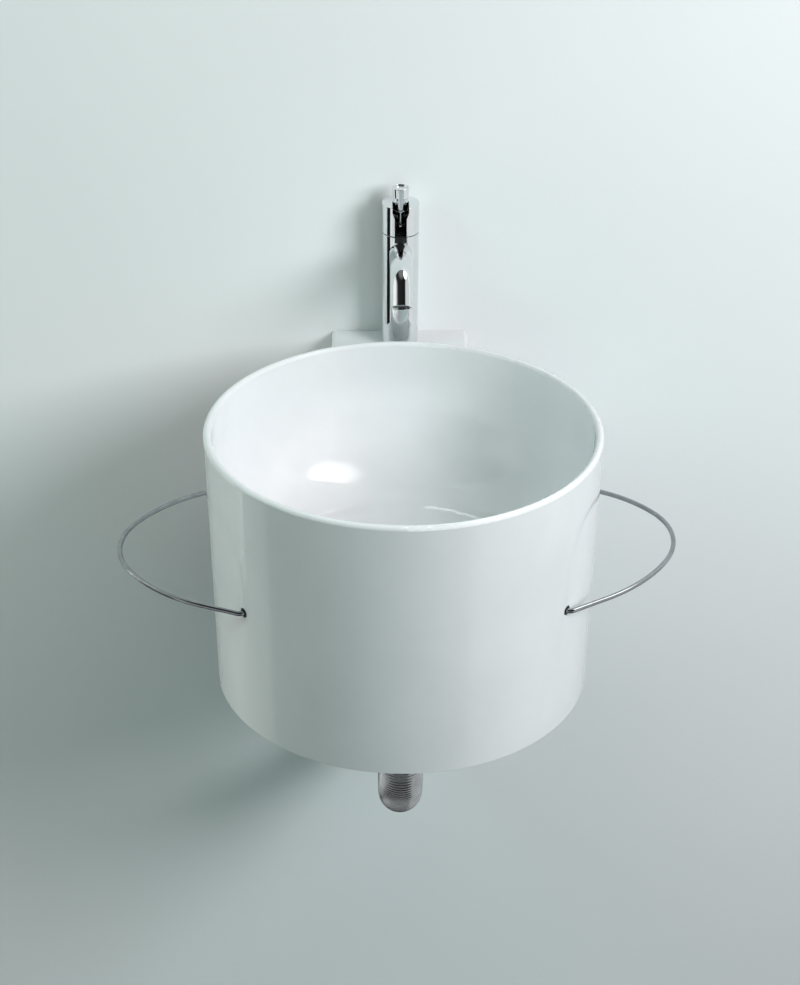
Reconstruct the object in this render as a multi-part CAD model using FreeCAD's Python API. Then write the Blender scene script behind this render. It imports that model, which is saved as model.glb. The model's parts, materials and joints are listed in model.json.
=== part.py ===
import FreeCAD, Part
import math
import os

from FreeCAD import Vector

# A wall hung basin: a round ceramic drum on a hollow neck, a single lever tap on the
# neck's deck, a wire towel rail each side and a ribbed waste hose back to the wall.
# Millimetres. The wall is the plane y = 0, the front looks along -Y, Z is up, and the
# origin lies on the wall midway between the two wall bolts.

# --- ceramic drum ---
rim_diameter = 400.0
drum_taper = 5.5              # how far the base's edge lies inside the rim's
drum_height = 285.0
rim_above_bolts = 110.0
shell_wall = 8.0
base_edge_round = 1.0
bowl_depth = 150.0
bowl_draft = 3.5              # how far the bowl's side leans in over its depth
bowl_corner = 120.0
bowl_fall = 6.0               # fall of the bowl's floor to the waste
bowl_wall = 11.0
rim_round_share = 0.995         # rim's two rounds as a share of half its wall

# --- ceramic neck and deck ---
neck_width = 150.0
neck_side_wall = 10.0
neck_back_wall = 9.0
neck_edge_round = 4.5
deck_length = 66.0            # wall to the drum's rim
deck_drop = 20.0              # rim to the deck that the tap stands on
deck_wall = 16.0
neck_bite = 4.0               # how far the neck runs into the drum's wall

# --- wall fixing ---
bolt_spacing = 100.0
bolt_diameter = 10.0
bolt_sleeve_wall = 1.8
bolt_sleeve_flange = 24.0
bolt_sleeve_flange_thick = 2.0
bolt_washer_diameter = 26.0
bolt_washer_thick = 2.5
bolt_nut_flats = 17.0
bolt_nut_height = 8.0
bolt_tip = 6.0                # bolt beyond its nut
bolt_in_wall = 70.0
bolt_in_wall_diameter = 9.0   # the part that screws into the wall's plug

# --- towel rails ---
rail_wire = 5.0
rail_below_rim = 145.0
rail_reach = {"left": 292.0, "right": 280.5}   # drum's axis to the rail's far point
rail_lift = {"left": 0.0, "right": 4.3}        # degrees that the loop is bent up
rail_back_shift = 11.5        # how far the loop's middle lies behind the drum's axis
rail_end_radius = 93.0        # the loop's far bend
rail_end_half_angle = 31.0
rail_side_radius = 165.0      # the loop's long sides
rail_corner_radius = 6.0      # where the wire turns into its hole
rail_corner_gap = 4.0         # drum's face to the corner of the wire's centre line
rail_corner_run = {"back": 5.0, "front": 42.0}   # straight wire from the corner to the long side
rail_thread = 14.0            # wire beyond the drum's inner face
grommet_diameter = 10.4
grommet_flange = 15.0
grommet_flange_thick = 2.0
rail_washer_diameter = 12.0
rail_washer_thick = 1.0
rail_nut_flats = 8.0
rail_nut_height = 4.0

# --- tap ---
tap_from_wall = 26.0
tap_diameter = 40.0
tap_body_height = 128.9
tap_foot_round = 2.0
tap_edge_round = 0.3
tap_hole_diameter = 30.0
seam_ring_thick = 0.8
seam_ring_inset = 0.5         # seam ring's edge inside the tap's side
head_height = 32.3
head_wall = 3.0
head_top = 3.0
head_edge_round = 0.6
head_web_thick = 3.0
notch_width = 17.6            # the head's front notch, at the grip
notch_low_width = 12.8        # the same notch below its funnel
notch_funnel_top = 6.5        # head's top to where the notch narrows
notch_funnel_height = 5.5
index_height = 6.4
index_thick = 2.6
cartridge_diameter = 26.0
cartridge_height = 38.0
cartridge_flange = 29.0
cartridge_flange_thick = 3.0
cartridge_nut_height = 6.0
cartridge_nut_bore = 21.0
cartridge_nut_thread = 31.0
nut_slot_width = 3.0
nut_slot_depth = 2.0
cartridge_port_depth = 12.0
carrier_diameter = 19.0
carrier_neck = 14.0
carrier_height = 11.0
carrier_floor = 1.8
lever_ball = 9.0
lever_stem = 5.0
lever_pin = 2.5
lever_pin_inset = 0.75        # each end of the pin inside the carrier's side
grip_bottom_diameter = 15.4
grip_top_diameter = 18.7
grip_rise = 17.1              # grip's top above the head's top
grip_length = 24.7
grip_groove_height = 1.5
grip_groove_diameter = 13.0
grip_collar_height = 1.9
grip_collar_diameter = 15.8
grip_collar_round = 0.5
grip_foot_round = 0.4
grip_top_round = 0.7
grip_lip_round = 0.5
grip_dish_wall = 1.6
grip_dish_depth = 1.8
grip_dish_slope = 0.8         # how far the dish's side leans in
grip_dish_round = 0.6
grip_dish_fall = 0.3          # fall of the dish's floor to its middle
grip_bore_depth = 17.0
head_screw_diameter = 4.0
head_screw_height = 7.5       # seam to the grub screw's axis
head_screw_inset = 0.5

# --- spout ---
spout_diameter = 24.0
spout_wall = 1.6
spout_below_seam = 18.7       # seam to the spout's centre line at the body
spout_straight = 52.0         # tap's axis to where the spout starts to bend
spout_bend_radius = 30.0
spout_bend_angle = 53.0
spout_end_run = 23.0
spout_seat = 15.8             # tap's axis to the spout's inner end
spout_passage = 10.0          # the way from the cartridge to the spout
aerator_length = 9.0
aerator_set_back = 0.8
aerator_wall = 1.2
aerator_hole = 1.8
aerator_insert_thick = 4.0
aerator_insert_recess = 1.0
aerator_rows = ((0.18, 5), (0.37, 10))   # share of the diameter, holes in the row

# --- tap fixing under the deck ---
base_gasket_thick = 1.0
base_gasket_lap = 1.0         # how far it reaches over the tap hole's edge
tap_stud_diameter = 8.0
tap_stud_offset = 7.0
tap_stud_in_body = 12.0
tap_stud_length = 62.0
inlet_diameter = 10.0
inlet_spacing = 14.0
inlet_depth = 14.0
inlet_passage = 6.0           # the ways from the inlets up to the cartridge
inlet_offset = 4.5
horseshoe_diameter = 46.0
horseshoe_back = 16.2
horseshoe_thick = 3.0
horseshoe_slot = 26.0
horseshoe_slot_ahead = 1.5    # how far the slot reaches ahead of the tap's axis
horseshoe_gasket_thick = 2.0
stud_nut_flats = 13.0
stud_nut_height = 6.5

# --- waste ---
waste_hole_diameter = 46.0
waste_tube_diameter = 41.9
waste_tube_wall = 2.4
waste_tube_length = 78.0
waste_flange_diameter = 63.0
waste_flange_thick = 2.5
waste_flange_round = 1.2
waste_tube_round = 0.5
waste_recess_clearance = 2.0
waste_boss_diameter = 74.0
waste_boss_depth = 4.0
top_seal_thick = 1.5
top_seal_inset = 0.5
spider_arm = 3.0
spider_height = 6.0
spider_boss = 12.0
spider_count = 3
cover_diameter = 56.0
cover_thick = 2.0
cover_crown = 5.0
cover_gap = 7.0
cover_stem = 6.0
cover_foot = 10.0             # thicker part of the stem, which rests on the spider
cover_edge_round = 0.8
cover_shoulder = (0.55, 0.75, 30.0)   # share of radius, share of crown, round
cover_root = 1.0              # how far the stem runs into the dome
under_seal_thick = 8.0
under_seal_diameter = 58.0
under_seal_rise = 2.5         # how far the taper reaches into the waste hole
under_seal_gap = 0.4          # taper's top to the hole's side
under_seal_flare = 0.2
under_seal_round = 1.0
waste_washer_thick = 1.5
lock_nut_flats = 56.0
lock_nut_height = 9.0

# --- waste hose ---
hose_diameter = 49.0
hose_bore = 41.0
hose_rib_pitch = 3.5
hose_rib_depth = 1.5
hose_crest = 0.45             # share of a rib's pitch at full diameter
hose_flank = 0.12             # share of a rib's pitch on each slope
hose_bend_radius = 100.0
hose_bend_below_base = 120.0  # drum's base to where the hose starts to bend
coupling_diameter = 56.0
coupling_height = 26.0
coupling_flutes = 12
coupling_flute_diameter = 6.0
coupling_flute_out = 1.0      # flute's axis outside the nut's side
coupling_seal_thick = 3.0
hose_collar = 14.0            # plain end of the hose inside its coupling
spigot_diameter = 40.0
spigot_wall = 2.0
spigot_in_wall = 40.0
spigot_stop_diameter = 43.0   # bead that rests on the wall, under the rosette
spigot_stop_thick = 2.0
rosette_diameter = 84.0
rosette_depth = 9.0
rosette_wall = 1.2
rosette_edge_round = 2.5
rosette_foot_round = 0.3
rosette_face = 0.86           # share of the radius that lies flat
wall_coupling_from_wall = 16.0

running_gap = 0.3             # between pieces that move past each other
close_fit = 0.05              # between pieces of one assembly, on the radius
overcut = 1.0                 # how far a cut runs past the face that it opens

# --- places worked out from the sizes above ---
rim_z = rim_above_bolts
base_z = rim_z - drum_height
rim_radius = rim_diameter / 2
drum_y = -deck_length - rim_radius
base_radius = rim_radius - drum_taper
drum_slope = (rim_radius - base_radius) / drum_height
deck_z = rim_z - deck_drop
tap_y = -tap_from_wall
tap_radius = tap_diameter / 2
tap_foot_z = deck_z + base_gasket_thick
seam_z = tap_foot_z + tap_body_height
head_z = seam_z + seam_ring_thick
head_top_z = head_z + head_height
pivot_z = seam_z + carrier_floor + running_gap + lever_ball / 2
rail_z = rim_z - rail_below_rim
recess_z = rim_z - bowl_depth - bowl_fall
flange_top_z = recess_z
flange_seat_z = flange_top_z - waste_flange_thick - top_seal_thick
drain_under_z = recess_z - bowl_wall - waste_boss_depth
tail_end_z = flange_top_z - waste_tube_length
hose_start_z = tail_end_z - coupling_seal_thick
hose_bend_z = base_z - hose_bend_below_base
hose_run_z = hose_bend_z - hose_bend_radius
spigot_end_y = -wall_coupling_from_wall - coupling_height / 2
hose_end_y = spigot_end_y - coupling_seal_thick
up = Vector(0, 0, 1)
across = Vector(1, 0, 0)
outward = Vector(0, -1, 0)


def line(a, b):
    return Part.LineSegment(a, b).toShape()


def arc_through(a, middle, b):
    return Part.Arc(a, middle, b).toShape()


def corner(before, point, after, radius):
    """Tangent points and middle of the arc that rounds one corner."""
    to_before = (before - point).normalize()
    to_after = (after - point).normalize()
    half = to_before.getAngle(to_after) / 2
    reach = radius / math.tan(half)
    middle_way = (to_before + to_after).normalize()
    middle = point + middle_way * (radius / math.sin(half) - radius)
    return point + to_before * reach, middle, point + to_after * reach


def rounded_path(points, closed=False):
    """A wire through (Vector, radius) points, with an arc at each point that has one."""
    count = len(points)
    stops = []
    for i, (point, radius) in enumerate(points):
        inner = closed or 0 < i < count - 1
        if radius and inner:
            before = points[i - 1][0]
            after = points[(i + 1) % count][0]
            stops.append(corner(before, point, after, radius))
        else:
            stops.append((point, None, point))
    edges = []
    for i, (start, middle, end) in enumerate(stops):
        if middle is not None:
            edges.append(arc_through(start, middle, end))
        if i + 1 < count or closed:
            following = stops[(i + 1) % count][0]
            if end.distanceToPoint(following) > 1e-6:
                edges.append(line(end, following))
    return Part.Wire(edges)


def turned(profile, x=0.0, y=0.0, z=0.0):
    """A solid of revolution about Z from (radius, height, corner radius) points."""
    wire = rounded_path([(Vector(r, 0, h), c) for r, h, c in profile], closed=True)
    solid = Part.Face(wire).revolve(Vector(0, 0, 0), up, 360)
    solid.translate(Vector(x, y, z))
    return solid


def cylinder(diameter, start, length, axis=up):
    return Part.makeCylinder(diameter / 2, length, start, axis)


def ring(outer, inner, start, length, axis=up):
    return cylinder(outer, start, length, axis).cut(cylinder(inner, start, length, axis))


def hexagon(flats, start, length, axis=up):
    """A hexagonal prism across its flats, standing on start along axis."""
    corner_radius = flats / math.sqrt(3)
    points = []
    for i in range(7):
        angle = math.radians(60 * i)
        points.append(Vector(corner_radius * math.cos(angle), corner_radius * math.sin(angle), 0))
    prism = Part.Face(Part.makePolygon(points)).extrude(Vector(0, 0, length))
    prism.Placement = FreeCAD.Placement(start, FreeCAD.Rotation(up, axis))
    return prism


def hex_nut(flats, bore, start, length, axis=up):
    return hexagon(flats, start, length, axis).cut(cylinder(bore, start, length, axis))


def box(x0, x1, y0, y1, z0, z1):
    return Part.makeBox(x1 - x0, y1 - y0, z1 - z0, Vector(x0, y0, z0))


def pipe(path, diameter):
    """A round bar along a wire."""
    start = path.OrderedEdges[0]
    way = start.tangentAt(start.FirstParameter)
    ends = Part.Circle(start.valueAt(start.FirstParameter), way, diameter / 2)
    return path.makePipeShell([Part.Wire(ends.toShape())], True, False)


# --- ceramic ---

def drum_radius(height):
    """The drum's outer radius at a height."""
    return rim_radius - drum_slope * (rim_z - height)


def drum_cone(inset, low, high):
    """A cone that follows the drum's outside, inset by a wall."""
    return Part.makeCone(drum_radius(low) - inset, drum_radius(high) - inset, high - low,
                         Vector(0, drum_y, low), up)


bowl_side_radius = rim_radius - shell_wall - bowl_draft
bowl_centre_radius = bowl_side_radius - bowl_corner
bowl_centre_depth = bowl_depth - bowl_corner


def drum_solid():
    rim_round = shell_wall / 2 * rim_round_share
    profile = [
        (0.0, -drum_height, 0),
        (base_radius, -drum_height, base_edge_round),
        (rim_radius, 0.0, rim_round),
        (rim_radius - shell_wall, 0.0, rim_round),
        (bowl_side_radius, -bowl_depth, bowl_corner),
        (0.0, -bowl_depth - bowl_fall, 0),
    ]
    return turned(profile, 0, drum_y, rim_z)


def drum_hollow():
    """The space inside the skirt and under the bowl."""
    under_radius = bowl_corner + bowl_wall
    skirt_base = base_radius - shell_wall
    skirt_top = skirt_base
    for _ in range(20):
        drop = math.sqrt(under_radius ** 2 - (skirt_top - bowl_centre_radius) ** 2)
        skirt_top = rim_radius - shell_wall - drum_slope * (bowl_centre_depth + drop)
    meet = Vector(skirt_top, 0, -bowl_centre_depth - drop)
    half_angle = (math.asin((skirt_top - bowl_centre_radius) / under_radius)) / 2
    middle = Vector(bowl_centre_radius + under_radius * math.sin(half_angle), 0,
                    -bowl_centre_depth - under_radius * math.cos(half_angle))
    floor = -bowl_centre_depth - under_radius
    boss_radius = waste_boss_diameter / 2
    boss_z = drain_under_z - rim_z
    low = -drum_height - overcut
    edges = [
        line(Vector(0, 0, low), Vector(skirt_base, 0, low)),
        line(Vector(skirt_base, 0, low), Vector(skirt_base, 0, -drum_height)),
        line(Vector(skirt_base, 0, -drum_height), meet),
        arc_through(meet, middle, Vector(bowl_centre_radius, 0, floor)),
        line(Vector(bowl_centre_radius, 0, floor), Vector(boss_radius, 0, floor - bowl_fall / 2)),
        line(Vector(boss_radius, 0, floor - bowl_fall / 2), Vector(boss_radius, 0, boss_z)),
        line(Vector(boss_radius, 0, boss_z), Vector(0, 0, boss_z)),
        line(Vector(0, 0, boss_z), Vector(0, 0, low)),
    ]
    hollow = Part.Face(Part.Wire(edges)).revolve(Vector(0, 0, 0), up, 360)
    hollow.translate(Vector(0, drum_y, rim_z))
    return hollow


def neck_solid():
    """The hollow neck from the drum's back to the wall, with the deck as its top."""
    half = neck_width / 2
    block = box(-half, half, drum_y, 0, base_z, deck_z)
    long_edges = []
    for edge in block.Edges:
        ends = [v.Point for v in edge.Vertexes]
        if all(abs(p.z - deck_z) < 1e-6 for p in ends) and abs(ends[0].x - ends[1].x) < 1e-6:
            long_edges.append(edge)
    block = block.makeFillet(neck_edge_round, long_edges)
    hollow = box(-half + neck_side_wall, half - neck_side_wall, drum_y, -neck_back_wall,
                 base_z - overcut, deck_z - deck_wall)
    return block.cut(hollow).cut(drum_cone(neck_bite, base_z - overcut, deck_z + overcut))


def bolt_places():
    return [Vector(side * bolt_spacing / 2, 0, 0) for side in (-1, 1)]


def bolt_hole_diameter():
    return bolt_diameter + 2 * (bolt_sleeve_wall + 2 * close_fit)


def basin_body():
    body = drum_solid().fuse(neck_solid()).removeSplitter()
    body = body.cut(drum_hollow())
    recess = waste_flange_diameter + 2 * waste_recess_clearance
    centre = Vector(0, drum_y, 0)
    body = body.cut(cylinder(recess, centre + up * flange_seat_z, bowl_depth))
    body = body.cut(cylinder(waste_hole_diameter, centre + up * (drain_under_z - overcut), bowl_depth))
    body = body.cut(cylinder(tap_hole_diameter, Vector(0, tap_y, deck_z - deck_wall - overcut),
                             deck_wall + 2 * overcut))
    for place in bolt_places():
        start = place + outward * (neck_back_wall + overcut)
        length = neck_back_wall + 2 * overcut
        body = body.cut(cylinder(bolt_hole_diameter(), start, length, -outward))
    for hole in rail_holes():
        inner = hole["face"] - hole["out"] * (2 * shell_wall)
        body = body.cut(cylinder(grommet_diameter, inner, 3 * shell_wall, hole["out"]))
    return body


# --- towel rails ---

def rail_centres(side):
    """Centres of the far bend and of the back and front long sides, right hand sense."""
    far = Vector(rail_reach[side] - rail_end_radius, drum_y + rail_back_shift, rail_z)
    spread = rail_side_radius - rail_end_radius
    angle = math.radians(rail_end_half_angle)
    back = far - Vector(math.cos(angle), math.sin(angle), 0) * spread
    front = far - Vector(math.cos(angle), -math.sin(angle), 0) * spread
    return far, back, front


def on_circle(centre, radius, angle):
    return centre + Vector(math.cos(angle), math.sin(angle), 0) * radius


def rail_stop_angle(centre, way, straight):
    """Where a long side comes down to the corner that turns into the drum."""
    stand = drum_radius(rail_z) + rail_corner_gap
    axis = Vector(0, drum_y, rail_z)
    low, high = math.radians(rail_end_half_angle), math.radians(150)
    for _ in range(60):
        angle = (low + high) / 2
        stop = on_circle(centre, rail_side_radius, way * angle)
        run = Vector(-math.sin(way * angle), math.cos(way * angle), 0) * way
        if (stop + run * straight - axis).Length > stand:
            low = angle
        else:
            high = angle
    return low


def rail_corners(side):
    """The loop's two straight runs, each from a long side's stop to its corner point."""
    _, back, front = rail_centres(side)
    runs = []
    for centre, way, end in ((back, 1, "back"), (front, -1, "front")):
        straight = rail_corner_run[end]
        angle = rail_stop_angle(centre, way, straight)
        stop = on_circle(centre, rail_side_radius, way * angle)
        heading = Vector(-math.sin(way * angle), math.cos(way * angle), 0) * way
        runs.append({"stop": stop, "angle": angle, "corner": stop + heading * straight})
    return runs


def rail_path(side):
    far, back, front = rail_centres(side)
    runs = rail_corners(side)
    half = math.radians(rail_end_half_angle)
    loop = []
    back_mid = (runs[0]["angle"] + half) / 2
    front_mid = (runs[1]["angle"] + half) / 2
    loop.append(arc_through(runs[0]["stop"], on_circle(back, rail_side_radius, back_mid),
                            on_circle(back, rail_side_radius, half)))
    loop.append(arc_through(on_circle(far, rail_end_radius, half), on_circle(far, rail_end_radius, 0),
                            on_circle(far, rail_end_radius, -half)))
    loop.append(arc_through(on_circle(front, rail_side_radius, -half),
                            on_circle(front, rail_side_radius, -front_mid), runs[1]["stop"]))
    hinge = runs[0]["corner"]
    hinge_way = (runs[0]["corner"] - runs[1]["corner"]).normalize()
    turned_runs = []
    for run in runs:
        bent = Part.Vertex(run["stop"])
        bent.rotate(hinge, hinge_way, -rail_lift[side])
        axis = Vector(0, drum_y, rail_z)
        inward = (axis - run["corner"]).normalize()
        inside = drum_radius(rail_z) - shell_wall - rail_thread
        tip = axis - inward * inside
        turned_runs.append((tip, corner(tip, run["corner"], bent.Point, rail_corner_radius), bent.Point))
    for edge in loop:
        edge.rotate(hinge, hinge_way, -rail_lift[side])
    (back_tip, back_corner, back_stop), (front_tip, front_corner, front_stop) = turned_runs
    edges = [line(back_tip, back_corner[0]), arc_through(*back_corner), line(back_corner[2], back_stop)]
    edges += loop
    edges += [line(front_stop, front_corner[2]), arc_through(*reversed(front_corner)),
              line(front_corner[0], front_tip)]
    path = Part.Wire(edges)
    if side == "left":
        path = path.mirror(Vector(0, 0, 0), across)
    return path


def rail_holes():
    """The four holes in the drum, each with its outer face point and outward way."""
    holes = []
    for side, sign in (("left", -1), ("right", 1)):
        for run in rail_corners(side):
            out = run["corner"] - Vector(0, drum_y, rail_z)
            out = Vector(sign * out.x, out.y, 0).normalize()
            face = Vector(0, drum_y, rail_z) + out * drum_radius(rail_z)
            holes.append({"face": face, "out": out})
    return holes


def towel_rail(side):
    return pipe(rail_path(side), rail_wire)


def at_each_hole(piece):
    return Part.makeCompound([piece(hole) for hole in rail_holes()])


def inner_face(hole):
    """Centre of a hole on the drum's inner face, kept clear of its curve."""
    return hole["face"] - hole["out"] * (shell_wall + running_gap)


def rail_grommet(hole):
    bush_start = inner_face(hole) - hole["out"] * grommet_flange_thick
    bush_length = shell_wall + grommet_flange_thick
    bush = cylinder(grommet_diameter - 2 * close_fit, bush_start, bush_length, hole["out"])
    flange = cylinder(grommet_flange, bush_start, grommet_flange_thick, hole["out"])
    bore = cylinder(rail_wire + 2 * close_fit, bush_start, bush_length, hole["out"])
    return bush.fuse(flange).removeSplitter().cut(bore)


def rail_washer(hole):
    start = inner_face(hole) - hole["out"] * grommet_flange_thick
    return ring(rail_washer_diameter, rail_wire + 2 * close_fit, start, rail_washer_thick, -hole["out"])


def rail_nut(hole):
    start = inner_face(hole) - hole["out"] * (grommet_flange_thick + rail_washer_thick)
    return hex_nut(rail_nut_flats, rail_wire, start, rail_nut_height, -hole["out"])


# --- wall fixing ---

def wall_bolts():
    bolts = []
    length = neck_back_wall + bolt_sleeve_flange_thick + bolt_washer_thick + bolt_nut_height + bolt_tip
    for place in bolt_places():
        shank = cylinder(bolt_diameter, place, length, outward)
        tail = cylinder(bolt_in_wall_diameter, place, bolt_in_wall, -outward)
        bolts.append(shank.fuse(tail).removeSplitter())
    return Part.makeCompound(bolts)


def bolt_sleeves():
    sleeves = []
    bore = bolt_diameter + 2 * close_fit
    sleeve = bolt_hole_diameter() - 2 * close_fit
    for place in bolt_places():
        tube = cylinder(sleeve, place, neck_back_wall, outward)
        flange = cylinder(bolt_sleeve_flange, place + outward * neck_back_wall,
                          bolt_sleeve_flange_thick, outward)
        hole = cylinder(bore, place, neck_back_wall + bolt_sleeve_flange_thick, outward)
        sleeves.append(tube.fuse(flange).removeSplitter().cut(hole))
    return Part.makeCompound(sleeves)


def bolt_washers():
    washers = []
    for place in bolt_places():
        start = place + outward * (neck_back_wall + bolt_sleeve_flange_thick)
        washers.append(ring(bolt_washer_diameter, bolt_diameter + 2 * close_fit, start,
                            bolt_washer_thick, outward))
    return Part.makeCompound(washers)


def bolt_nuts():
    nuts = []
    for place in bolt_places():
        start = place + outward * (neck_back_wall + bolt_sleeve_flange_thick + bolt_washer_thick)
        nuts.append(hex_nut(bolt_nut_flats, bolt_diameter, start, bolt_nut_height, outward))
    return Part.makeCompound(nuts)


# --- tap ---

tap_axis = Vector(0, tap_y, 0)


def spout_path():
    """The spout's centre line from inside the tap's body to its mouth."""
    height = seam_z - spout_below_seam
    angle = math.radians(spout_bend_angle)
    reach = spout_bend_radius * math.tan(angle / 2)
    knee = Vector(0, tap_y - spout_straight - reach, height)
    heading = Vector(0, -math.cos(angle), -math.sin(angle))
    mouth = knee + heading * (reach + spout_end_run)
    return rounded_path([(Vector(0, tap_y - spout_seat, height), 0), (knee, spout_bend_radius), (mouth, 0)])


def spout_mouth():
    """The centre of the spout's mouth and the way that it points."""
    last = spout_path().OrderedEdges[-1]
    return last.valueAt(last.LastParameter), last.tangentAt(last.LastParameter)


def spout():
    outer = pipe(spout_path(), spout_diameter)
    inner = pipe(spout_path(), spout_diameter - 2 * spout_wall)
    return outer.cut(inner)


def tap_body():
    outline = [
        (0.0, 0.0, 0),
        (tap_radius, 0.0, tap_foot_round),
        (tap_radius, tap_body_height, tap_edge_round),
        (0.0, tap_body_height, 0),
    ]
    body = turned(outline, 0, tap_y, tap_foot_z)
    top = tap_axis + up * seam_z
    thread_depth = cartridge_nut_height + cartridge_flange_thick
    body = body.cut(cylinder(cartridge_nut_thread, top - up * thread_depth,
                             thread_depth + overcut))
    cartridge_room = cartridge_height + close_fit
    body = body.cut(cylinder(cartridge_diameter + 2 * close_fit, top - up * cartridge_room,
                             cartridge_room + overcut))
    spout_centre = top - up * spout_below_seam
    body = body.cut(cylinder(spout_diameter + 2 * close_fit, spout_centre + outward * spout_seat,
                             tap_radius, outward))
    body = body.cut(cylinder(spout_passage, spout_centre, tap_radius, outward))
    body = body.cut(cylinder(tap_stud_diameter, stud_place(tap_foot_z), tap_stud_in_body))
    for place in inlet_places():
        body = body.cut(cylinder(inlet_diameter, place, inlet_depth))
        passage = tap_body_height - cartridge_room + overcut
        body = body.cut(cylinder(inlet_passage, place, passage))
    return body.cut(index_room(close_fit))


def inlet_places(height=tap_foot_z):
    """The two water inlets in the tap's foot, hot on the left."""
    return [Vector(side * inlet_spacing / 2, tap_y + inlet_offset, height) for side in (-1, 1)]


def index_room(margin):
    """The block under the head's notch that shows the lever's middle place."""
    half = notch_low_width / 2 + margin
    block = box(-half, half, tap_y - tap_diameter, tap_y, seam_z - index_height - margin,
                seam_z + overcut)
    inside = cylinder(2 * (tap_radius - index_thick - margin), Vector(0, tap_y, base_z), 3 * drum_height)
    return block.cut(inside)


def index_block():
    skin = cylinder(tap_diameter, Vector(0, tap_y, base_z), 3 * drum_height)
    below = box(-tap_diameter, tap_diameter, tap_y - tap_diameter, tap_y, base_z, seam_z)
    return index_room(0).common(skin).common(below)


def seam_ring():
    return ring(tap_diameter - 2 * seam_ring_inset, cartridge_nut_thread, Vector(0, tap_y, seam_z),
                seam_ring_thick - running_gap)


def notch(low, high, width):
    return box(-width / 2, width / 2, tap_y - tap_diameter, tap_y, low, high)


def tap_head():
    """The turning head: a cup over the lever, with a web below and a notch in front."""
    outer = turned([(0, 0, 0), (tap_radius, 0, tap_edge_round),
                    (tap_radius, head_height, head_edge_round),
                    (0, head_height, 0)], 0, tap_y, head_z)
    room_low = head_z + head_web_thick
    room = cylinder(2 * (tap_radius - head_wall), Vector(0, tap_y, room_low),
                    head_height - head_web_thick - head_top)
    head = outer.cut(room)
    head = head.cut(cylinder(carrier_diameter + 2 * close_fit, Vector(0, tap_y, head_z - overcut),
                             head_web_thick + 2 * overcut))
    funnel_z = head_top_z - notch_funnel_top
    head = head.cut(notch(funnel_z, head_top_z + overcut, notch_width))
    head = head.cut(cylinder(notch_width, Vector(0, tap_y, head_top_z - head_top - overcut),
                             head_top + 2 * overcut))
    head = head.cut(notch(head_z - overcut, funnel_z, notch_low_width))
    wide, narrow = notch_width / 2, notch_low_width / 2
    flare = [Vector(-wide, 0, funnel_z), Vector(wide, 0, funnel_z),
             Vector(narrow, 0, funnel_z - notch_funnel_height),
             Vector(-narrow, 0, funnel_z - notch_funnel_height), Vector(-wide, 0, funnel_z)]
    funnel = Part.Face(Part.makePolygon(flare)).extrude(outward * tap_diameter)
    funnel.translate(tap_axis)
    head = head.cut(funnel)
    screw = Vector(0, tap_y, seam_z + head_screw_height)
    return head.cut(cylinder(head_screw_diameter + 2 * close_fit, screw, tap_diameter, -outward))


def cartridge():
    top = Vector(0, tap_y, seam_z - cartridge_nut_height)
    body = cylinder(cartridge_diameter, Vector(0, tap_y, seam_z - cartridge_height),
                    cartridge_height - cartridge_nut_height)
    flange = cylinder(cartridge_flange, top - up * cartridge_flange_thick, cartridge_flange_thick)
    neck = cylinder(carrier_neck, top, cartridge_nut_height - running_gap)
    body = body.fuse([flange, neck]).removeSplitter()
    for place in inlet_places(seam_z - cartridge_height):
        body = body.cut(cylinder(inlet_passage, place, cartridge_port_depth))
    outlet = Vector(0, tap_y, seam_z - spout_below_seam)
    return body.cut(cylinder(spout_passage, outlet, cartridge_diameter, outward))


def cartridge_nut():
    start = Vector(0, tap_y, seam_z - cartridge_nut_height)
    nut = ring(cartridge_nut_thread, cartridge_nut_bore, start, cartridge_nut_height - running_gap)
    half = nut_slot_width / 2
    slot = box(-tap_radius, tap_radius, tap_y - half, tap_y + half, seam_z - nut_slot_depth, seam_z)
    return nut.cut(slot)


def lever_carrier():
    """The piece that the head is fixed to; it turns on the cartridge and holds the pin."""
    body = cylinder(carrier_diameter, tap_axis + up * seam_z, carrier_height)
    half = lever_ball / 2 + running_gap
    body = body.cut(box(-half, half, tap_y - carrier_diameter, tap_y + carrier_diameter,
                        seam_z + carrier_floor, seam_z + carrier_height))
    pin_hole = Vector(-carrier_diameter, tap_y, pivot_z)
    return body.cut(cylinder(lever_pin + 2 * close_fit, pin_hole, 2 * carrier_diameter, across))


def lever_pivot_pin():
    length = carrier_diameter - 2 * lever_pin_inset
    return cylinder(lever_pin, Vector(-length / 2, tap_y, pivot_z), length, across)


def head_screw():
    start = Vector(0, tap_y + carrier_diameter / 2, seam_z + head_screw_height)
    length = tap_radius - carrier_diameter / 2 - head_screw_inset
    return cylinder(head_screw_diameter, start, length, -outward)


def grip_low_z():
    return head_top_z + grip_rise - grip_length


def lever_stem_piece():
    ball = Part.makeSphere(lever_ball / 2, Vector(0, tap_y, pivot_z))
    stem_top = grip_low_z() + grip_bore_depth
    stem = cylinder(lever_stem, Vector(0, tap_y, pivot_z), stem_top - pivot_z)
    piece = ball.fuse(stem).removeSplitter()
    return piece.cut(cylinder(lever_pin + 2 * close_fit, Vector(-lever_ball, tap_y, pivot_z),
                              2 * lever_ball, across))


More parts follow.
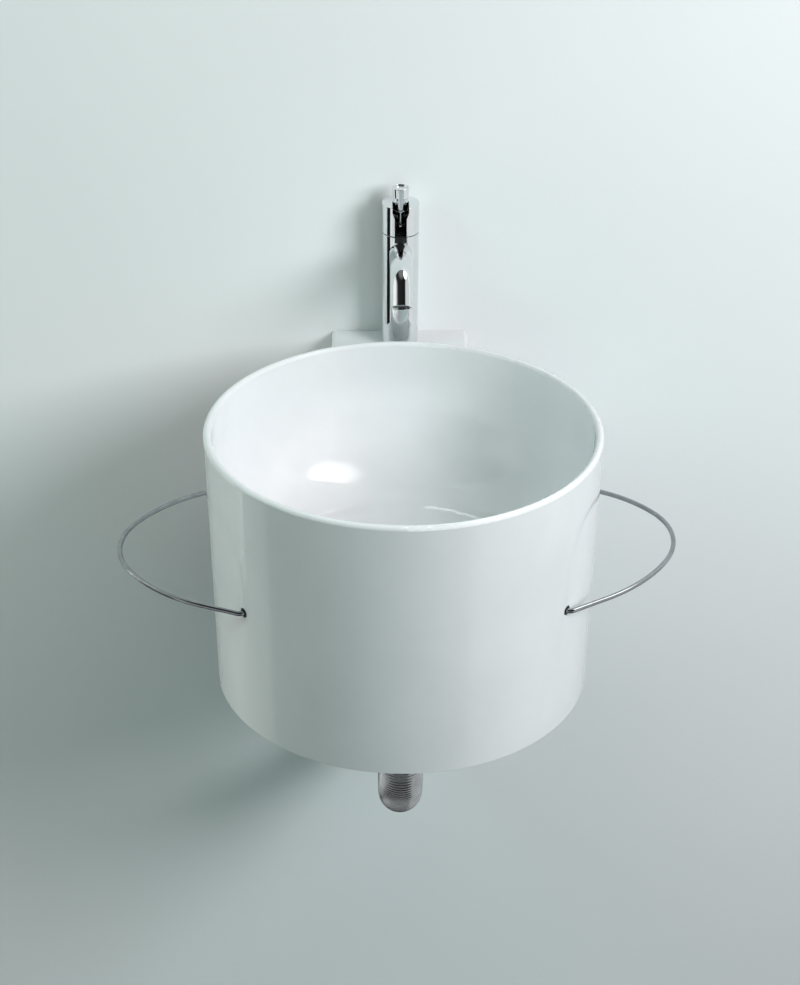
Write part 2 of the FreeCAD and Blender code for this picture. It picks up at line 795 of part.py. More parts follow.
def lever_grip():
    low = grip_groove_height
    foot, top = grip_bottom_diameter / 2, grip_top_diameter / 2
    dish = top - grip_dish_wall
    outline = [
        (0, 0, 0),
        (grip_groove_diameter / 2, 0, 0),
        (grip_groove_diameter / 2, low, 0),
        (foot, low, grip_foot_round),
        (top, grip_length, grip_top_round),
        (dish, grip_length, grip_lip_round),
        (dish - grip_dish_slope, grip_length - grip_dish_depth, grip_dish_round),
        (0, grip_length - grip_dish_depth - grip_dish_fall, 0),
    ]
    grip = turned(outline, 0, tap_y, grip_low_z())
    return grip.cut(cylinder(lever_stem, Vector(0, tap_y, grip_low_z()), grip_bore_depth))


def lever_collar():
    start = Vector(0, tap_y, grip_low_z() - grip_collar_height)
    collar = ring(grip_collar_diameter, lever_stem, start, grip_collar_height)
    edges = [e for e in collar.Edges if abs(e.Length - math.pi * grip_collar_diameter) < 0.01]
    return collar.makeFillet(grip_collar_round, edges)


def aerator_housing():
    mouth, way = spout_mouth()
    outer = spout_diameter - 2 * spout_wall - 2 * close_fit
    start = mouth - way * (aerator_set_back + aerator_length)
    return ring(outer, outer - 2 * aerator_wall, start, aerator_length, way)


def aerator_insert():
    """The perforated disc that the water leaves by."""
    mouth, way = spout_mouth()
    diameter = spout_diameter - 2 * (spout_wall + aerator_wall + 2 * close_fit)
    start = mouth - way * (aerator_set_back + aerator_insert_recess + aerator_insert_thick)
    disc = cylinder(diameter, start, aerator_insert_thick, way)
    side = way.cross(across)
    for share, count in aerator_rows:
        for i in range(count):
            angle = 2 * math.pi * i / count
            spoke = across * math.cos(angle) + side * math.sin(angle)
            place = start + spoke * (share * diameter)
            disc = disc.cut(cylinder(aerator_hole, place, aerator_insert_thick, way))
    return disc


# --- tap fixing ---

def tap_gasket():
    start = Vector(0, tap_y, deck_z)
    return ring(tap_diameter - 2 * tap_foot_round, tap_hole_diameter - 2 * base_gasket_lap, start,
                base_gasket_thick)


def stud_place(height):
    return Vector(0, tap_y - tap_stud_offset, height)


def tap_stud():
    top = tap_foot_z + tap_stud_in_body
    return cylinder(tap_stud_diameter, stud_place(top - tap_stud_length), tap_stud_length)


def horseshoe(thick, top_z):
    """A plate with a slot for the inlets, flat at the back where the neck's wall is near."""
    plate = cylinder(horseshoe_diameter, Vector(0, tap_y, top_z - thick), thick)
    half = horseshoe_diameter
    plate = plate.common(box(-half, half, tap_y - half, tap_y + horseshoe_back, top_z - thick, top_z))
    slot_half = horseshoe_slot / 2
    slot = box(-slot_half, slot_half, tap_y - horseshoe_slot_ahead, tap_y + half, top_z - thick, top_z)
    plate = plate.cut(slot)
    return plate.cut(cylinder(tap_stud_diameter + 2 * close_fit, stud_place(top_z - thick), thick))


def horseshoe_gasket():
    return horseshoe(horseshoe_gasket_thick, deck_z - deck_wall)


def horseshoe_washer():
    return horseshoe(horseshoe_thick, deck_z - deck_wall - horseshoe_gasket_thick)


def stud_nut():
    top = deck_z - deck_wall - horseshoe_gasket_thick - horseshoe_thick
    return hex_nut(stud_nut_flats, tap_stud_diameter, stud_place(top - stud_nut_height), stud_nut_height)


# --- waste ---

waste_axis = Vector(0, drum_y, 0)


def waste_flange():
    """Flange, tube and spider of the open waste, turned as one."""
    bore = waste_tube_diameter - 2 * waste_tube_wall
    flange_radius = waste_flange_diameter / 2
    outline = [
        (bore / 2, 0, 0),
        (bore / 2, -waste_tube_length, 0),
        (waste_tube_diameter / 2, -waste_tube_length, waste_tube_round),
        (waste_tube_diameter / 2, -waste_flange_thick, 0),
        (flange_radius, -waste_flange_thick, 0),
        (flange_radius, 0, waste_flange_round),
    ]
    body = turned(outline, 0, drum_y, flange_top_z)
    low = flange_top_z - waste_flange_thick - spider_height
    for i in range(spider_count):
        arm = box(0, waste_tube_diameter / 2 - waste_tube_wall / 2, -spider_arm / 2, spider_arm / 2,
                  0, spider_height)
        arm.rotate(Vector(0, 0, 0), up, 360 * i / spider_count)
        arm.translate(waste_axis + up * low)
        body = body.fuse(arm)
    body = body.fuse(cylinder(spider_boss, waste_axis + up * low, spider_height)).removeSplitter()
    return body.cut(cylinder(cover_stem, waste_axis + up * low, spider_height))


def waste_cover():
    """The domed cover that stands over the open waste on its stem."""
    low = cover_gap
    radius = cover_diameter / 2
    shoulder_share, crown_share, shoulder_round = cover_shoulder
    outline = [
        (0, low, 0),
        (radius, low, cover_edge_round),
        (radius, low + cover_thick, cover_edge_round),
        (radius * shoulder_share, low + cover_thick + cover_crown * crown_share, shoulder_round),
        (0, low + cover_thick + cover_crown, 0),
    ]
    dome = turned(outline, 0, drum_y, flange_top_z)
    stem_low = flange_top_z - waste_flange_thick - spider_height
    root = flange_top_z + low + cover_root
    foot_low = flange_top_z - waste_flange_thick
    stem = cylinder(cover_stem, waste_axis + up * stem_low, root - stem_low)
    foot = cylinder(cover_foot, waste_axis + up * foot_low, root - foot_low)
    return dome.fuse([stem, foot]).removeSplitter()


def waste_seal():
    start = waste_axis + up * flange_seat_z
    return ring(waste_flange_diameter - 2 * top_seal_inset, waste_tube_diameter + 2 * close_fit, start,
                top_seal_thick)


def waste_under_seal():
    """The tapered rubber that seals the waste's tube from below."""
    bore = waste_tube_diameter / 2 + close_fit
    taper = waste_hole_diameter / 2 - under_seal_gap
    outline = [
        (bore, under_seal_rise, 0),
        (taper, under_seal_rise, 0),
        (taper + under_seal_flare, 0, 0),
        (under_seal_diameter / 2, 0, 0),
        (under_seal_diameter / 2, -under_seal_thick, under_seal_round),
        (bore, -under_seal_thick, 0),
    ]
    return turned(outline, 0, drum_y, drain_under_z)


def waste_washer():
    start = waste_axis + up * (drain_under_z - under_seal_thick - waste_washer_thick)
    return ring(under_seal_diameter, waste_tube_diameter + 2 * close_fit, start, waste_washer_thick)


def waste_lock_nut():
    top = drain_under_z - under_seal_thick - waste_washer_thick
    return hex_nut(lock_nut_flats, waste_tube_diameter, waste_axis + up * (top - lock_nut_height),
                   lock_nut_height)


# --- waste hose ---

def hose_stations():
    """Centre, heading and radius of each circle along the ribbed hose."""
    down_run = hose_start_z - hose_collar - hose_bend_z
    bend_run = hose_bend_radius * math.pi / 2
    bend_y = drum_y + hose_bend_radius
    back_run = hose_end_y - hose_collar - bend_y
    total = down_run + bend_run + back_run

    def station(s):
        if s <= down_run:
            return Vector(0, drum_y, hose_start_z - hose_collar - s), Vector(0, 0, -1)
        if s <= down_run + bend_run:
            angle = (s - down_run) / hose_bend_radius
            centre = Vector(0, bend_y - hose_bend_radius * math.cos(angle),
                            hose_bend_z - hose_bend_radius * math.sin(angle))
            return centre, Vector(0, math.sin(angle), -math.cos(angle))
        return Vector(0, bend_y + s - down_run - bend_run, hose_run_z), Vector(0, 1, 0)

    count = round(total / hose_rib_pitch)
    pitch = total / count
    crest = hose_diameter / 2
    root = crest - hose_rib_depth
    steps = ((0.0, root), (hose_flank, crest), (hose_flank + hose_crest, crest),
             (2 * hose_flank + hose_crest, root))
    rows = []
    for i in range(count):
        for share, radius in steps:
            rows.append(station((i + share) * pitch) + (radius,))
    rows.append(station(total) + (root,))
    print("hose ribs", count, "pitch", round(pitch, 3))
    return rows


def hose_path():
    bend = Vector(0, drum_y, hose_run_z)
    return rounded_path([(Vector(0, drum_y, hose_start_z), 0), (bend, hose_bend_radius),
                         (Vector(0, hose_end_y, hose_run_z), 0)])


def waste_hose():
    """The ribbed steel hose from the waste's tube down and back to the wall."""
    wires = []
    for centre, heading, radius in hose_stations():
        circle = Part.Circle(centre, heading, radius)
        circle.XAxis = across
        wires.append(Part.Wire(circle.toShape()))
    ribs = Part.makeLoft(wires, True, True)
    root = hose_diameter - 2 * hose_rib_depth
    top = cylinder(root, Vector(0, drum_y, hose_start_z - hose_collar), hose_collar)
    end = cylinder(root, Vector(0, hose_end_y - hose_collar, hose_run_z), hose_collar, -outward)
    hose = ribs.fuse([top, end])
    return hose.cut(pipe(hose_path(), hose_bore))


def coupling(start, way, pipe_diameter):
    """A fluted union nut over a pipe's end, its seal and the hose's plain end."""
    hose_end = hose_diameter - 2 * hose_rib_depth
    nut = cylinder(coupling_diameter, start, coupling_height, way)
    side = across
    other = way.cross(side)
    for i in range(coupling_flutes):
        angle = 2 * math.pi * i / coupling_flutes
        spoke = side * math.cos(angle) + other * math.sin(angle)
        place = start + spoke * (coupling_diameter / 2 + coupling_flute_out)
        nut = nut.cut(cylinder(coupling_flute_diameter, place, coupling_height, way))
    half = coupling_height / 2
    nut = nut.cut(cylinder(pipe_diameter + 2 * close_fit, start, half, way))
    nut = nut.cut(cylinder(hose_end + 2 * close_fit, start + way * half, half, way))
    return nut


def coupling_seal(start, way, pipe_bore):
    hose_end = hose_diameter - 2 * hose_rib_depth
    return ring(hose_end, pipe_bore, start, coupling_seal_thick, way)


def top_coupling():
    start = waste_axis + up * (tail_end_z + coupling_height / 2)
    return coupling(start, Vector(0, 0, -1), waste_tube_diameter)


def top_coupling_seal():
    bore = waste_tube_diameter - 2 * waste_tube_wall
    return coupling_seal(waste_axis + up * tail_end_z, Vector(0, 0, -1), bore)


def spigot_point(y):
    return Vector(0, y, hose_run_z)


def wall_coupling():
    start = spigot_point(spigot_end_y + coupling_height / 2)
    return coupling(start, outward, spigot_diameter)


def wall_coupling_seal():
    return coupling_seal(spigot_point(spigot_end_y), outward, spigot_diameter - 2 * spigot_wall)


def wall_spigot():
    length = -spigot_end_y + spigot_in_wall
    tube = cylinder(spigot_diameter, spigot_point(spigot_in_wall), length, outward)
    stop = cylinder(spigot_stop_diameter, spigot_point(0), spigot_stop_thick, outward)
    way = cylinder(spigot_diameter - 2 * spigot_wall, spigot_point(spigot_in_wall + overcut),
                   length + 2 * overcut, outward)
    return tube.fuse(stop).removeSplitter().cut(way)


def wall_rosette():
    bore = spigot_diameter / 2 + close_fit
    radius = rosette_diameter / 2
    outline = [
        (bore, rosette_depth - rosette_wall, 0),
        (bore, rosette_depth, 0),
        (radius * rosette_face, rosette_depth, rosette_edge_round),
        (radius, 0, rosette_foot_round),
        (radius - rosette_wall, 0, 0),
        (radius * rosette_face - rosette_wall, rosette_depth - rosette_wall,
         rosette_edge_round - rosette_wall),
    ]
    plate = turned(outline)
    plate.Placement = FreeCAD.Placement(spigot_point(0), FreeCAD.Rotation(up, outward))
    return plate


pieces = {
    "basin_body": basin_body,
    "left_towel_rail": lambda: towel_rail("left"),
    "right_towel_rail": lambda: towel_rail("right"),
    "rail_grommets": lambda: at_each_hole(rail_grommet),
    "rail_washers": lambda: at_each_hole(rail_washer),
    "rail_nuts": lambda: at_each_hole(rail_nut),
    "wall_bolts": wall_bolts,
    "bolt_sleeves": bolt_sleeves,
    "bolt_washers": bolt_washers,
    "bolt_nuts": bolt_nuts,
    "tap_body": tap_body,
    "index_block": index_block,
    "seam_ring": seam_ring,
    "tap_head": tap_head,
    "cartridge": cartridge,
    "cartridge_nut": cartridge_nut,
    "lever_carrier": lever_carrier,
    "lever_pivot_pin": lever_pivot_pin,
    "head_screw": head_screw,
    "lever_stem": lever_stem_piece,
    "lever_grip": lever_grip,
    "lever_collar": lever_collar,
    "spout": spout,
    "aerator_housing": aerator_housing,
    "aerator_insert": aerator_insert,
    "tap_gasket": tap_gasket,
    "tap_stud": tap_stud,
    "horseshoe_gasket": horseshoe_gasket,
    "horseshoe_washer": horseshoe_washer,
    "stud_nut": stud_nut,
    "waste_flange": waste_flange,
    "waste_cover": waste_cover,
    "waste_seal": waste_seal,
    "waste_under_seal": waste_under_seal,
    "waste_washer": waste_washer,
    "waste_lock_nut": waste_lock_nut,
    "top_coupling": top_coupling,
    "top_coupling_seal": top_coupling_seal,
    "waste_hose": waste_hose,
    "wall_coupling": wall_coupling,
    "wall_coupling_seal": wall_coupling_seal,
    "wall_spigot": wall_spigot,
    "wall_rosette": wall_rosette,
}

os.makedirs("parts", exist_ok=True)
for name, make in pieces.items():
    shape = make()
    shape.exportStep("parts/" + name + ".step")
    print(name, "solids", len(shape.Solids), "volume", round(shape.Volume), "valid", shape.isValid())
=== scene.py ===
import bpy, bmesh, json, math
from mathutils import Vector, Matrix


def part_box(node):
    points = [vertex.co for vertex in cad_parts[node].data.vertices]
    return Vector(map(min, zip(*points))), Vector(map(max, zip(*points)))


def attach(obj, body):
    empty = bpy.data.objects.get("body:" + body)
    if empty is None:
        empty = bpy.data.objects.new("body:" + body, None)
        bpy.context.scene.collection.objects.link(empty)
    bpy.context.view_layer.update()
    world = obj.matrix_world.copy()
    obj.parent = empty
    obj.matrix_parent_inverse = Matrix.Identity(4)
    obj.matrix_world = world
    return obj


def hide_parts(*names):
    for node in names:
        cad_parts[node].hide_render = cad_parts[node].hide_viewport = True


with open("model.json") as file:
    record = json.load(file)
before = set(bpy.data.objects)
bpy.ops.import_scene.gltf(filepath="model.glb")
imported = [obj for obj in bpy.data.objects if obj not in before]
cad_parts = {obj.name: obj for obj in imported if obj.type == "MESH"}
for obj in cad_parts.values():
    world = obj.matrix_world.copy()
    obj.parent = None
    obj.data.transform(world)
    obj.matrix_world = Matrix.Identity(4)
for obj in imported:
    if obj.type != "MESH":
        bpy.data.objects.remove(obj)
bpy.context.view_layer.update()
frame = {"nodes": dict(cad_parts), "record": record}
record = frame["record"]
nodes = frame["nodes"]
scene = bpy.context.scene
print("frame loaded:", len(nodes), "nodes")

# the basin hangs on the wall y = 0, its front looks along -Y

camera = {
    "place": (-0.0398, -2.1401, 1.0965),
    "turnRight": 1.12,      # degrees from +Y towards +X
    "lookDown": 29.55,
    "roll": 0.4,            # the frame's right side up
    "focalPixels": 2120.6,
    "longSidePixels": 985,
    "sensor": 36,
    "clip": (0.05, 30),
}


def makeCamera(c):
    turn, down, roll = (math.radians(c[k]) for k in ("turnRight", "lookDown", "roll"))
    level = Vector((math.cos(turn), -math.sin(turn), 0))
    forward = Vector((math.sin(turn), math.cos(turn), 0))
    ahead = forward * math.cos(down) - Vector((0, 0, math.sin(down)))
    above = level.cross(ahead)
    right = level * math.cos(roll) + above * math.sin(roll)
    top = above * math.cos(roll) - level * math.sin(roll)
    data = bpy.data.cameras.new("photoCamera")
    data.sensor_width = c["sensor"]
    data.lens = c["focalPixels"] / c["longSidePixels"] * c["sensor"]
    data.clip_start, data.clip_end = c["clip"]
    cam = bpy.data.objects.new("photoCamera", data)
    facing = Matrix((right, top, -ahead)).transposed().to_4x4()
    cam.matrix_world = Matrix.Translation(c["place"]) @ facing
    scene.collection.objects.link(cam)
    scene.camera = cam


makeCamera(camera)
print("camera placed")


# the nodes of one material, with short calls for what every finish needs
class Shader:
    def __init__(self, name):
        self.mat = bpy.data.materials.new(name)
        self.mat.use_nodes = True
        self.tree = self.mat.node_tree
        self.bsdf = self.tree.nodes["Principled BSDF"]
        self.out = self.tree.nodes["Material Output"]
        self.coord = self.add("ShaderNodeTexCoord").outputs["Object"]

    def add(self, kind, **settings):
        node = self.tree.nodes.new(kind)
        for key, value in settings.items():
            setattr(node, key, value)
        return node

    def link(self, a, b):
        self.tree.links.new(a, b)

    def maths(self, operation, *values):
        node = self.add("ShaderNodeMath", operation=operation)
        for socket, value in zip(node.inputs, values):
            if isinstance(value, (int, float)):
                socket.default_value = value
            else:
                self.link(value, socket)
        return node.outputs[0]

    def set(self, **values):
        for key, value in values.items():
            self.bsdf.inputs[key.replace("_", " ")].default_value = value

    def noise(self, scale, detail, rough=0.5):
        node = self.add("ShaderNodeTexNoise")
        node.inputs["Scale"].default_value = scale
        node.inputs["Detail"].default_value = detail
        node.inputs["Roughness"].default_value = rough
        self.link(self.coord, node.inputs["Vector"])
        return node.outputs["Fac"]

    # the middle of the noise runs from the low value to the high one
    def ramp(self, source, low, high, socket, span=(0.3, 0.7)):
        node = self.add("ShaderNodeValToRGB")
        for element, place, value in zip(node.color_ramp.elements, span, (low, high)):
            element.position = place
            element.color = (*value, 1) if isinstance(value, tuple) else (value, value, value, 1)
        self.link(source, node.inputs["Fac"])
        self.link(node.outputs["Color"], self.bsdf.inputs[socket])

    def colour(self, source, low, high):
        self.ramp(source, low, high, "Base Color")

    def rough(self, source, low, high):
        self.ramp(source, low, high, "Roughness")

    def bump(self, source, strength, distance):
        node = self.add("ShaderNodeBump")
        node.inputs["Strength"].default_value = strength
        node.inputs["Distance"].default_value = distance
        self.link(source, node.inputs["Height"])
        last = self.bsdf.inputs["Normal"]
        if last.is_linked:
            self.link(last.links[0].from_socket, node.inputs["Normal"])
        self.link(node.outputs[0], last)


# every noise is given as (scale, detail) or (scale, detail, roughness)
glaze = {
    "thin": (0.66, 0.68, 0.69),
    "thick": (0.705, 0.725, 0.735),
    "clouds": (9, 4, 0.6),
    "roughness": (0.045, 0.085),
    "polish": (160, 3),
    "firingWave": {"noise": (7, 2), "strength": 0.10, "depth": 0.0004},
    "orangePeel": {"noise": (900, 2), "strength": 0.25, "depth": 0.00002},
    "refraction": 1.5,
    "coat": 0.35,
    "coatRoughness": 0.03,
}


def glazedCeramic(g):
    s = Shader("glazedCeramic")
    s.colour(s.noise(*g["clouds"]), g["thin"], g["thick"])
    s.rough(s.noise(*g["polish"]), *g["roughness"])
    for relief in (g["firingWave"], g["orangePeel"]):
        s.bump(s.noise(*relief["noise"]), relief["strength"], relief["depth"])
    s.set(IOR=g["refraction"], Coat_Weight=g["coat"], Coat_Roughness=g["coatRoughness"])
    return s.mat


# grain is the scale of the polishing marks: stains are coarser by wear, scratches finer by scratch
polished = {
    "tapChrome": {"colour": ((0.80, 0.82, 0.83), (0.86, 0.88, 0.89)),
                  "roughness": (0.02, 0.06), "grain": 340},
    "wasteChrome": {"colour": ((0.76, 0.78, 0.79), (0.84, 0.86, 0.87)),
                    "roughness": (0.05, 0.12), "grain": 260},
    "railSteel": {"colour": ((0.30, 0.315, 0.325), (0.38, 0.395, 0.405)),
                  "roughness": (0.05, 0.11), "grain": 700},
}
polish = {"wear": 6, "scratch": 3, "strength": 0.2, "depth": 0.00001}


def polishedMetal(name, c):
    s = Shader(name)
    s.colour(s.noise(c["grain"] / polish["wear"], detail=4), *c["colour"])
    s.rough(s.noise(c["grain"], detail=3), *c["roughness"])
    scratches = s.noise(c["grain"] * polish["scratch"], detail=2)
    s.bump(scratches, polish["strength"], polish["depth"])
    s.set(Metallic=1.0)
    return s.mat


turned = {
    "zincSteel": {"colour": ((0.44, 0.45, 0.47), (0.60, 0.61, 0.63)), "roughness": (0.28, 0.45)},
    "turnedBrass": {"colour": ((0.60, 0.42, 0.16), (0.76, 0.57, 0.26)), "roughness": (0.18, 0.34)},
    "platedBrass": {"colour": ((0.52, 0.53, 0.54), (0.66, 0.67, 0.68)), "roughness": (0.14, 0.26)},
    "hoseSteel": {"colour": ((0.40, 0.41, 0.42), (0.50, 0.51, 0.52)), "roughness": (0.08, 0.14)},
}
turning = {
    "stains": (70, 5, 0.6),
    "sheen": (420, 4),
    "marks": (1500, 2),
    "strength": 0.2,
    "depth": 0.00001,
}


def turnedMetal(name, c):
    s = Shader(name)
    s.colour(s.noise(*turning["stains"]), *c["colour"])
    s.rough(s.noise(*turning["sheen"]), *c["roughness"])
    s.bump(s.noise(*turning["marks"]), turning["strength"], turning["depth"])
    s.set(Metallic=1.0)
    return s.mat


moulded = {
    "blackRubber": {"colour": ((0.010, 0.010, 0.011), (0.022, 0.022, 0.023)), "roughness": (0.55, 0.75)},
    "blackPlastic": {"colour": ((0.006, 0.006, 0.007), (0.014, 0.014, 0.015)), "roughness": (0.30, 0.42)},
    "paleNylon": {"colour": ((0.66, 0.66, 0.62), (0.76, 0.76, 0.72)), "roughness": (0.40, 0.55)},
}
moulding = {
    "flow": (90, 4),
    "sheen": (500, 3),
    "skin": (1100, 3),
    "strength": 0.4,
    "depth": 0.00004,
}


def mouldedPiece(name, c):
    s = Shader(name)
    s.colour(s.noise(*moulding["flow"]), *c["colour"])
    s.rough(s.noise(*moulding["sheen"]), *c["roughness"])
    s.bump(s.noise(*moulding["skin"]), moulding["strength"], moulding["depth"])
    return s.mat


finishes = {"glazedCeramic": glazedCeramic(glaze)}
for makeFinish, kinds in ((polishedMetal, polished), (turnedMetal, turned), (mouldedPiece, moulded)):
    for name, kind in kinds.items():
        finishes[name] = makeFinish(name, kind)

finishOfSlot = {
    "glazed_ceramic": "glazedCeramic",
    "rail_chrome": "railSteel",
    "tap_chrome": "tapChrome",
    "hose_steel": "hoseSteel",
    "plated_brass": "platedBrass",
    "bare_brass": "turnedBrass",
    "zinc_steel": "zincSteel",
    "black_rubber": "blackRubber",
    "black_plastic": "blackPlastic",
    "pale_plastic": "paleNylon",
}

# single pieces that look different from the rest of their slot
finishOfNode = {
    "waste_flange": "wasteChrome",
    "waste_cover": "wasteChrome",
    "wall_rosette": "wasteChrome",
    "cartridge_nut": "blackPlastic",
    "aerator_insert": "blackPlastic",
}


def dressNodes():
    slotOf = {part["node"]: part["material_slot"] for part in record["subparts"]}
    for name, node in nodes.items():
        finish = finishOfNode.get(name, finishOfSlot[slotOf[name]])
        node.data.materials.clear()
        node.data.materials.append(finishes[finish])


dressNodes()
print("finishes on", len(nodes), "nodes")

# the waste hose with its ribs, drawn around the solid hose's own path
hose = {
    "bendRadius": 0.100,
    "ribs": 123,
    "ribDepth": 0.0015,
    "crestFlatness": 1.8,
    "plainEnd": 0.014,
    "bore": 0.041,
    "around": 72,
    "perRib": 10,
    "alongBore": 90,
}


def ribbedHose(h):
    low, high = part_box("waste_hose")
    crest = (high.x - low.x) / 2
    root = crest - h["ribDepth"]
    radius = h["bendRadius"]
    axisY, runZ = low.y + crest, low.z + crest
    bendY, bendZ = axisY + radius, runZ + radius
    drop = high.z - bendZ
    bend = radius * math.pi / 2
    total = drop + bend + high.y - bendY
    across, back, up = Vector((1, 0, 0)), Vector((0, 1, 0)), Vector((0, 0, 1))

    # the place on the axis and the side that the ring opens to, at a length from the top
    def station(s):
        if s < drop:
            return Vector((0, axisY, high.z - s)), back
        if s < drop + bend:
            a = (s - drop) / radius
            side = Vector((0, math.cos(a), math.sin(a)))
            return Vector((0, bendY, bendZ)) - side * radius, side
        return Vector((0, bendY + s - drop - bend, runZ)), up

    pitch = (total - 2 * h["plainEnd"]) / h["ribs"]
    outline = [(0.0, root)]
    for i in range(h["ribs"] * h["perRib"] + 1):
        turn = i / h["perRib"]
        wave = -math.cos(2 * math.pi * turn)
        height = math.tanh(h["crestFlatness"] * wave) / math.tanh(h["crestFlatness"])
        outline.append((h["plainEnd"] + turn * pitch, root + h["ribDepth"] * (height + 1) / 2))
    outline.append((total, root))
    for i in range(h["alongBore"] + 1):
        outline.append((total * (1 - i / h["alongBore"]), h["bore"] / 2))

    mesh = bmesh.new()
    rings = []
    for s, reach in outline:
        centre, side = station(s)
        ring = []
        for j in range(h["around"]):
            a = 2 * math.pi * j / h["around"]
            ring.append(mesh.verts.new(centre + (across * math.cos(a) + side * math.sin(a)) * reach))
        rings.append(ring)
    for i, ring in enumerate(rings):
        following = rings[(i + 1) % len(rings)]
        for j in range(h["around"]):
            k = (j + 1) % h["around"]
            mesh.faces.new((ring[j], ring[k], following[k], following[j])).smooth = True
    bmesh.ops.recalc_face_normals(mesh, faces=mesh.faces)
    data = bpy.data.meshes.new("ribbedHose")
    mesh.to_mesh(data)
    mesh.free()
    data.materials.append(finishes["hoseSteel"])
    piece = bpy.data.objects.new("ribbedHose", data)
    scene.collection.objects.link(piece)
    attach(piece, "base")
    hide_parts("waste_hose")
    print("hose:", h["ribs"], "ribs, pitch", round(pitch * 1000, 2), "mm")


ribbedHose(hose)

room = {
    "colourLow": (0.735, 0.765, 0.77),
    "colourHigh": (0.765, 0.79, 0.80),
    "clouds": (1.6, 5, 0.55),
    "roughness": (0.85, 0.95),
    "sheen": (30, 3),
    "grain": {"noise": (220, 4), "strength": 0.15, "depth": 0.0004},
    "halfWidth": 1.6,
    "top": 2.6,
    "floor": -1.7,
    "cove": 0.45,
    "coveSteps": 12,
    "depth": 1.3,
    "gap": 0.0004,          # behind the basin's back
    "mirroredFrom": -0.8,   # what lies lower isn't mirrored
}


def paintedPlaster(r):
    s = Shader("paintedPlaster")
    s.colour(s.noise(*r["clouds"]), r["colourLow"], r["colourHigh"])
    s.rough(s.noise(*r["sheen"]), *r["roughness"])
    s.bump(s.noise(*r["grain"]["noise"]), r["grain"]["strength"], r["grain"]["depth"])
    # the wall is clear from behind, and so is its low part and the floor to mirrored rays
    place = s.add("ShaderNodeSeparateXYZ")
    s.link(s.coord, place.inputs[0])
    low = s.maths("LESS_THAN", place.outputs[2], r["mirroredFrom"])
    mirrored = s.maths("MULTIPLY", low, s.add("ShaderNodeLightPath").outputs["Is Glossy Ray"])
    behind = s.add("ShaderNodeNewGeometry").outputs["Backfacing"]
    clear = s.add("ShaderNodeBsdfTransparent")
    pick = s.add("ShaderNodeMixShader")
    s.link(s.maths("MAXIMUM", behind, mirrored), pick.inputs[0])
    s.link(s.bsdf.outputs[0], pick.inputs[1])
    s.link(clear.outputs[0], pick.inputs[2])
    s.link(pick.outputs[0], s.out.inputs["Surface"])
    return s.mat


def wallAndFloor(r):
    wallY = r["gap"]
    outline = [(wallY, r["top"])]
    for i in range(r["coveSteps"] + 1):
        a = math.pi / 2 * i / r["coveSteps"]
        forward, fall = r["cove"] * (1 - math.cos(a)), r["cove"] * (1 - math.sin(a))
        outline.append((wallY - forward, r["floor"] + fall))
    outline.append((-r["depth"], r["floor"]))
    verts, faces = [], []
    for y, z in outline:
        verts += [(-r["halfWidth"], y, z), (r["halfWidth"], y, z)]
    for i in range(len(outline) - 1):
        faces.append((2 * i, 2 * i + 2, 2 * i + 3, 2 * i + 1))
    data = bpy.data.meshes.new("wallAndFloor")
    data.from_pydata(verts, [], faces)
    data.polygons.foreach_set("use_smooth", [True] * len(faces))
    data.materials.append(paintedPlaster(r))
    wall = bpy.data.objects.new("wallAndFloor", data)
    scene.collection.objects.link(wall)


wallAndFloor(room)
print("wall and floor made")

# the lamps light the basin but aren't mirrored: the chrome mirrors the painted reflections of the sky
# below, which light nothing
lamps = {
    "keyWindow": {"place": (1.658, -1.542, 1.312), "aim": (0, -0.15, 0.1), "size": (1.1, 1.1),
                  "watts": 65, "colour": (0.962, 0.975, 1)},
    "frontWindow": {"place": (0.633, -2.562, 0.52), "aim": (0, -0.2, 0), "size": (1.4, 1.4),
                    "watts": 9.5, "colour": (0.60, 1, 0.92)},
    "topWindow": {"place": (0.2, -1.3, 1.9), "aim": (0, -0.1, 0), "size": (2.2, 0.9),
                  "watts": 8.3, "colour": (1, 0.63, 0.55)},
    "leftWindow": {"place": (-1.5, -0.22, 0), "aim": (0, -0.24, 0), "size": (0.36, 1.4),
                   "watts": 9.3, "colour": (1, 0.955, 0.88)},
    "leftTop": {"place": (-1.6, -0.8, 1.6), "aim": (0, -0.2, 0), "size": (0.9, 0.9),
                "watts": 12.8, "colour": (0.55, 1, 0.97)},
}


def makeLamps(rig):
    for name, l in rig.items():
        data = bpy.data.lights.new(name, "AREA")
        data.shape = "RECTANGLE"
        data.size, data.size_y = l["size"]
        data.energy = l["watts"]
        data.color = l["colour"]
        lamp = bpy.data.objects.new(name, data)
        lamp.location = l["place"]
        aim = Vector(l["aim"]) - Vector(l["place"])
        lamp.rotation_mode = "QUATERNION"
        lamp.rotation_quaternion = aim.to_track_quat("-Z", "Y")
        lamp.visible_glossy = False
        lamp.visible_camera = False
        scene.collection.objects.link(lamp)


